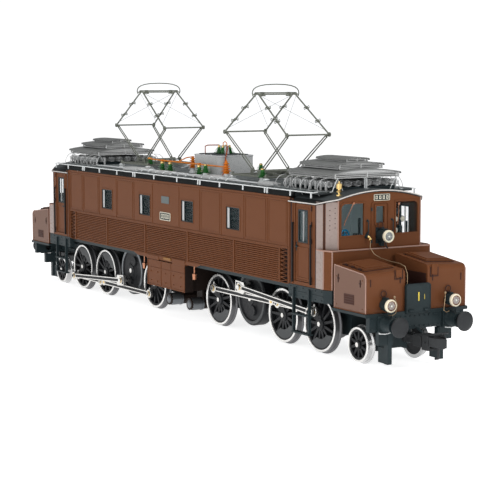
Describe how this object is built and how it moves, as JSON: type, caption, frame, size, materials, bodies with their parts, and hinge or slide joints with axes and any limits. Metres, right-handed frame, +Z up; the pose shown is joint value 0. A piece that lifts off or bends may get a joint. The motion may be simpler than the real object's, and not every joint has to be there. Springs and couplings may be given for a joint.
{
  "type": "model electric locomotive",
  "caption": "Gauge 1 rod-drive electric locomotive: long centre body with end cabs on twin bogies, stepped hoods, side coolers, jackshaft rods and raised diamond pantographs.",
  "frame": {"origin": "centre of the locomotive on the floor that its wheel flanges stand on", "axes": "+X to the front along the track, +Y to the left, +Z up"},
  "size_m": [0.632, 0.0938, 0.1935],
  "materials": {
    "oxide_brown": "satin oxide brown paint",
    "frame_black": "satin blue-black paint",
    "roof_grey": "matt dark grey paint",
    "cover_grey": "semi-matt silver grey paint",
    "tank_grey": "matt light grey paint",
    "wheel_black": "satin black with bright steel tyres",
    "bright_steel": "bright nickel-plated rods",
    "copper_orange": "orange-painted copper pipe",
    "arm_grey": "dark grey wire and tube",
    "motor_steel": "plated motor can",
    "brass": "turned brass",
    "clear_glass": "clear glazing",
    "white_enamel": "white and cream moulded detail",
    "green_ceramic": "green glazed insulator",
    "cab_green": "matt grey-green cab interior"
  },
  "bodies": {
    "loco_body": {"underframe": "frame_black", "transformer_case": "oxide_brown", "body_shell": "oxide_brown", "roof": "roof_grey", "breaker_tank": "tank_grey", "high_voltage_line": "copper_orange", "cooler_left": "oxide_brown", "cooler_right": "oxide_brown", "resistor_cover_front": "cover_grey", "panto_base_front": "arm_grey", "resistor_cover_rear": "cover_grey", "panto_base_rear": "arm_grey"},
    "bogie_front": {"bogie_frame_front": "frame_black", "hood_front_left": "oxide_brown", "hood_front_right": "oxide_brown", "motor_front": "motor_steel"},
    "jackshaft_front": {"jackshaft_front": "wheel_black"},
    "driving_wheelset_front_1": {"driving_wheelset_front_1": "wheel_black"},
    "driving_wheelset_front_2": {"driving_wheelset_front_2": "wheel_black"},
    "driving_wheelset_front_3": {"driving_wheelset_front_3": "wheel_black"},
    "rods_front_left": {"coupling_rod_front_left": "bright_steel", "main_rod_front_left": "bright_steel"},
    "buffer_front_left": {"buffer_front_left": "frame_black"},
    "cab_door_front_left": {"cab_door_front_left": "oxide_brown"},
    "rods_front_right": {"coupling_rod_front_right": "bright_steel", "main_rod_front_right": "bright_steel"},
    "buffer_front_right": {"buffer_front_right": "frame_black"},
    "cab_door_front_right": {"cab_door_front_right": "oxide_brown"},
    "pony_truck_front": {"pony_truck_front": "frame_black"},
    "pony_wheelset_front": {"pony_wheelset_front": "wheel_black"},
    "coupler_front": {"coupler_front": "frame_black"},
    "panto_front_lower_arm_front": {"panto_front_lower_arm_front": "arm_grey"},
    "panto_front_lower_arm_rear": {"panto_front_lower_arm_rear": "arm_grey"},
    "panto_front_upper_arm_front": {"panto_front_upper_arm_front": "arm_grey"},
    "panto_front_upper_arm_rear": {"panto_front_upper_arm_rear": "arm_grey"},
    "panto_head_front": {"panto_head_front": "arm_grey"},
    "bogie_rear": {"bogie_frame_rear": "frame_black", "hood_rear_left": "oxide_brown", "hood_rear_right": "oxide_brown", "motor_rear": "motor_steel"},
    "jackshaft_rear": {"jackshaft_rear": "wheel_black"},
    "driving_wheelset_rear_1": {"driving_wheelset_rear_1": "wheel_black"},
    "driving_wheelset_rear_2": {"driving_wheelset_rear_2": "wheel_black"},
    "driving_wheelset_rear_3": {"driving_wheelset_rear_3": "wheel_black"},
    "rods_rear_left": {"coupling_rod_rear_left": "bright_steel", "main_rod_rear_left": "bright_steel"},
    "buffer_rear_left": {"buffer_rear_left": "frame_black"},
    "cab_door_rear_left": {"cab_door_rear_left": "oxide_brown"},
    "rods_rear_right": {"coupling_rod_rear_right": "bright_steel", "main_rod_rear_right": "bright_steel"},
    "buffer_rear_right": {"buffer_rear_right": "frame_black"},
    "cab_door_rear_right": {"cab_door_rear_right": "oxide_brown"},
    "pony_truck_rear": {"pony_truck_rear": "frame_black"},
    "pony_wheelset_rear": {"pony_wheelset_rear": "wheel_black"},
    "coupler_rear": {"coupler_rear": "frame_black"},
    "panto_rear_lower_arm_front": {"panto_rear_lower_arm_front": "arm_grey"},
    "panto_rear_lower_arm_rear": {"panto_rear_lower_arm_rear": "arm_grey"},
    "panto_rear_upper_arm_front": {"panto_rear_upper_arm_front": "arm_grey"},
    "panto_rear_upper_arm_rear": {"panto_rear_upper_arm_rear": "arm_grey"},
    "panto_head_rear": {"panto_head_rear": "arm_grey"}
  },
  "joints": [
    {"name": "bogie_front_swivel", "type": "hinge", "parent": "loco_body", "child": "bogie_front", "pos_m": [0.125, 0, 0.04], "axis": [0, 0, 1], "range_deg": [-3, 3]},
    {"name": "jackshaft_front_spin", "type": "hinge", "parent": "bogie_front", "child": "jackshaft_front", "pos_m": [0.1021, 0, 0.0283], "axis": [0, 1, 0], "continuous": true},
    {"name": "driving_wheelset_front_1_spin", "type": "hinge", "parent": "bogie_front", "child": "driving_wheelset_front_1", "pos_m": [0.0552, 0, 0.0218], "axis": [0, 1, 0], "continuous": true},
    {"name": "driving_wheelset_front_2_spin", "type": "hinge", "parent": "bogie_front", "child": "driving_wheelset_front_2", "pos_m": [0.1513, 0, 0.0218], "axis": [0, 1, 0], "continuous": true},
    {"name": "driving_wheelset_front_3_spin", "type": "hinge", "parent": "bogie_front", "child": "driving_wheelset_front_3", "pos_m": [0.2006, 0, 0.0218], "axis": [0, 1, 0], "continuous": true},
    {"name": "rods_front_left_carry", "type": "hinge", "parent": "driving_wheelset_front_3", "child": "rods_front_left", "pos_m": [0.19142, 0.0312, 0.01934], "axis": [0, 1, 0], "continuous": true},
    {"name": "buffer_front_left_slide", "type": "slide", "parent": "bogie_front", "child": "buffer_front_left", "axis": [1, 0, 0], "range_m": [-0.004, 0], "stiffness_N_per_m": 150},
    {"name": "cab_door_front_left_hinge", "type": "hinge", "parent": "loco_body", "child": "cab_door_front_left", "pos_m": [0.21565, 0.04415, 0.0821], "axis": [0, 0, 1], "range_deg": [0, 85]},
    {"name": "rods_front_right_carry", "type": "hinge", "parent": "driving_wheelset_front_3", "child": "rods_front_right", "pos_m": [0.19814, -0.0312, 0.03098], "axis": [0, 1, 0], "continuous": true},
    {"name": "buffer_front_right_slide", "type": "slide", "parent": "bogie_front", "child": "buffer_front_right", "axis": [1, 0, 0], "range_m": [-0.004, 0], "stiffness_N_per_m": 150},
    {"name": "cab_door_front_right_hinge", "type": "hinge", "parent": "loco_body", "child": "cab_door_front_right", "pos_m": [0.21565, -0.04415, 0.0821], "axis": [0, 0, -1], "range_deg": [0, 85]},
    {"name": "pony_truck_front_swivel", "type": "hinge", "parent": "bogie_front", "child": "pony_truck_front", "pos_m": [0.23, 0, 0.016], "axis": [0, 0, 1], "range_deg": [-4, 4]},
    {"name": "pony_wheelset_front_spin", "type": "hinge", "parent": "pony_truck_front", "child": "pony_wheelset_front", "pos_m": [0.2486, 0, 0.0139], "axis": [0, 1, 0], "continuous": true},
    {"name": "coupler_front_swing", "type": "hinge", "parent": "bogie_front", "child": "coupler_front", "pos_m": [0.272, 0, 0.0205], "axis": [0, 0, 1], "range_deg": [-12, 12]},
    {"name": "panto_front_raise", "type": "hinge", "parent": "loco_body", "child": "panto_front_lower_arm_front", "pos_m": [0.1038, 0, 0.1263], "axis": [0, -1, 0], "range_deg": [-30, 0], "stiffness_Nm_per_rad": 0.02, "springref_deg": 34.38},
    {"name": "panto_front_lower_rear_pivot", "type": "hinge", "parent": "loco_body", "child": "panto_front_lower_arm_rear", "pos_m": [0.0928, 0, 0.1263], "axis": [0, -1, 0], "range_deg": [0, 30.5]},
    {"name": "panto_front_elbow_front_pivot", "type": "hinge", "parent": "panto_front_lower_arm_front", "child": "panto_front_upper_arm_front", "pos_m": [0.1443, 0, 0.1553], "axis": [0, -1, 0], "range_deg": [0, 59.87]},
    {"name": "panto_front_elbow_rear_pivot", "type": "hinge", "parent": "panto_front_lower_arm_rear", "child": "panto_front_upper_arm_rear", "pos_m": [0.0523, 0, 0.1553], "axis": [0, -1, 0], "range_deg": [-59.87, 0]},
    {"name": "panto_front_crown_pivot", "type": "hinge", "parent": "panto_front_upper_arm_front", "child": "panto_head_front", "pos_m": [0.1001, 0, 0.1853], "axis": [0, -1, 0], "range_deg": [-29.87, 0]},
    {"name": "bogie_rear_swivel", "type": "hinge", "parent": "loco_body", "child": "bogie_rear", "pos_m": [-0.125, 0, 0.04], "axis": [0, 0, 1], "range_deg": [-3, 3]},
    {"name": "jackshaft_rear_spin", "type": "hinge", "parent": "bogie_rear", "child": "jackshaft_rear", "pos_m": [-0.1021, 0, 0.0283], "axis": [0, 1, 0], "continuous": true},
    {"name": "driving_wheelset_rear_1_spin", "type": "hinge", "parent": "bogie_rear", "child": "driving_wheelset_rear_1", "pos_m": [-0.0552, 0, 0.0218], "axis": [0, 1, 0], "continuous": true},
    {"name": "driving_wheelset_rear_2_spin", "type": "hinge", "parent": "bogie_rear", "child": "driving_wheelset_rear_2", "pos_m": [-0.1513, 0, 0.0218], "axis": [0, 1, 0], "continuous": true},
    {"name": "driving_wheelset_rear_3_spin", "type": "hinge", "parent": "bogie_rear", "child": "driving_wheelset_rear_3", "pos_m": [-0.2006, 0, 0.0218], "axis": [0, 1, 0], "continuous": true},
    {"name": "rods_rear_left_carry", "type": "hinge", "parent": "driving_wheelset_rear_3", "child": "rods_rear_left", "pos_m": [-0.19199, 0.0312, 0.01778], "axis": [0, 1, 0], "continuous": true},
    {"name": "buffer_rear_left_slide", "type": "slide", "parent": "bogie_rear", "child": "buffer_rear_left", "axis": [-1, 0, 0], "range_m": [-0.004, 0], "stiffness_N_per_m": 150},
    {"name": "cab_door_rear_left_hinge", "type": "hinge", "parent": "loco_body", "child": "cab_door_rear_left", "pos_m": [-0.21565, 0.04415, 0.0821], "axis": [0, 0, -1], "range_deg": [0, 85]},
    {"name": "rods_rear_right_carry", "type": "hinge", "parent": "driving_wheelset_rear_3", "child": "rods_rear_right", "pos_m": [-0.20461, -0.0312, 0.01319], "axis": [0, 1, 0], "continuous": true},
    {"name": "buffer_rear_right_slide", "type": "slide", "parent": "bogie_rear", "child": "buffer_rear_right", "axis": [-1, 0, 0], "range_m": [-0.004, 0], "stiffness_N_per_m": 150},
    {"name": "cab_door_rear_right_hinge", "type": "hinge", "parent": "loco_body", "child": "cab_door_rear_right", "pos_m": [-0.21565, -0.04415, 0.0821], "axis": [0, 0, 1], "range_deg": [0, 85]},
    {"name": "pony_truck_rear_swivel", "type": "hinge", "parent": "bogie_rear", "child": "pony_truck_rear", "pos_m": [-0.23, 0, 0.016], "axis": [0, 0, 1], "range_deg": [-4, 4]},
    {"name": "pony_wheelset_rear_spin", "type": "hinge", "parent": "pony_truck_rear", "child": "pony_wheelset_rear", "pos_m": [-0.2486, 0, 0.0139], "axis": [0, 1, 0], "continuous": true},
    {"name": "coupler_rear_swing", "type": "hinge", "parent": "bogie_rear", "child": "coupler_rear", "pos_m": [-0.272, 0, 0.0205], "axis": [0, 0, 1], "range_deg": [-12, 12]},
    {"name": "panto_rear_raise", "type": "hinge", "parent": "loco_body", "child": "panto_rear_lower_arm_front", "pos_m": [-0.0903, 0, 0.1263], "axis": [0, -1, 0], "range_deg": [-30, 0], "stiffness_Nm_per_rad": 0.02, "springref_deg": 34.38},
    {"name": "panto_rear_lower_rear_pivot", "type": "hinge", "parent": "loco_body", "child": "panto_rear_lower_arm_rear", "pos_m": [-0.1013, 0, 0.1263], "axis": [0, -1, 0], "range_deg": [0, 30.5]},
    {"name": "panto_rear_elbow_front_pivot", "type": "hinge", "parent": "panto_rear_lower_arm_front", "child": "panto_rear_upper_arm_front", "pos_m": [-0.0498, 0, 0.1553], "axis": [0, -1, 0], "range_deg": [0, 59.87]},
    {"name": "panto_rear_elbow_rear_pivot", "type": "hinge", "parent": "panto_rear_lower_arm_rear", "child": "panto_rear_upper_arm_rear", "pos_m": [-0.1418, 0, 0.1553], "axis": [0, -1, 0], "range_deg": [-59.87, 0]},
    {"name": "panto_rear_crown_pivot", "type": "hinge", "parent": "panto_rear_upper_arm_front", "child": "panto_head_rear", "pos_m": [-0.094, 0, 0.1853], "axis": [0, -1, 0], "range_deg": [-29.87, 0]}
  ],
  "couplings": [
    {"joint": "driving_wheelset_front_1_spin", "follows": "jackshaft_front_spin", "ratio": 1},
    {"joint": "driving_wheelset_front_2_spin", "follows": "jackshaft_front_spin", "ratio": 1},
    {"joint": "driving_wheelset_front_3_spin", "follows": "jackshaft_front_spin", "ratio": 1},
    {"joint": "rods_front_left_carry", "follows": "jackshaft_front_spin", "ratio": -1},
    {"joint": "rods_front_right_carry", "follows": "jackshaft_front_spin", "ratio": -1},
    {"joint": "panto_front_lower_rear_pivot", "follows": "panto_front_raise", "ratio": -1},
    {"joint": "panto_front_elbow_front_pivot", "follows": "panto_front_raise", "ratio": -1.979},
    {"joint": "panto_front_elbow_rear_pivot", "follows": "panto_front_raise", "ratio": 1.979},
    {"joint": "panto_front_crown_pivot", "follows": "panto_front_raise", "ratio": 0.979},
    {"joint": "driving_wheelset_rear_1_spin", "follows": "jackshaft_rear_spin", "ratio": 1},
    {"joint": "driving_wheelset_rear_2_spin", "follows": "jackshaft_rear_spin", "ratio": 1},
    {"joint": "driving_wheelset_rear_3_spin", "follows": "jackshaft_rear_spin", "ratio": 1},
    {"joint": "rods_rear_left_carry", "follows": "jackshaft_rear_spin", "ratio": -1},
    {"joint": "rods_rear_right_carry", "follows": "jackshaft_rear_spin", "ratio": -1},
    {"joint": "panto_rear_lower_rear_pivot", "follows": "panto_rear_raise", "ratio": -1},
    {"joint": "panto_rear_elbow_front_pivot", "follows": "panto_rear_raise", "ratio": -1.979},
    {"joint": "panto_rear_elbow_rear_pivot", "follows": "panto_rear_raise", "ratio": 1.979},
    {"joint": "panto_rear_crown_pivot", "follows": "panto_rear_raise", "ratio": 0.979}
  ]
}
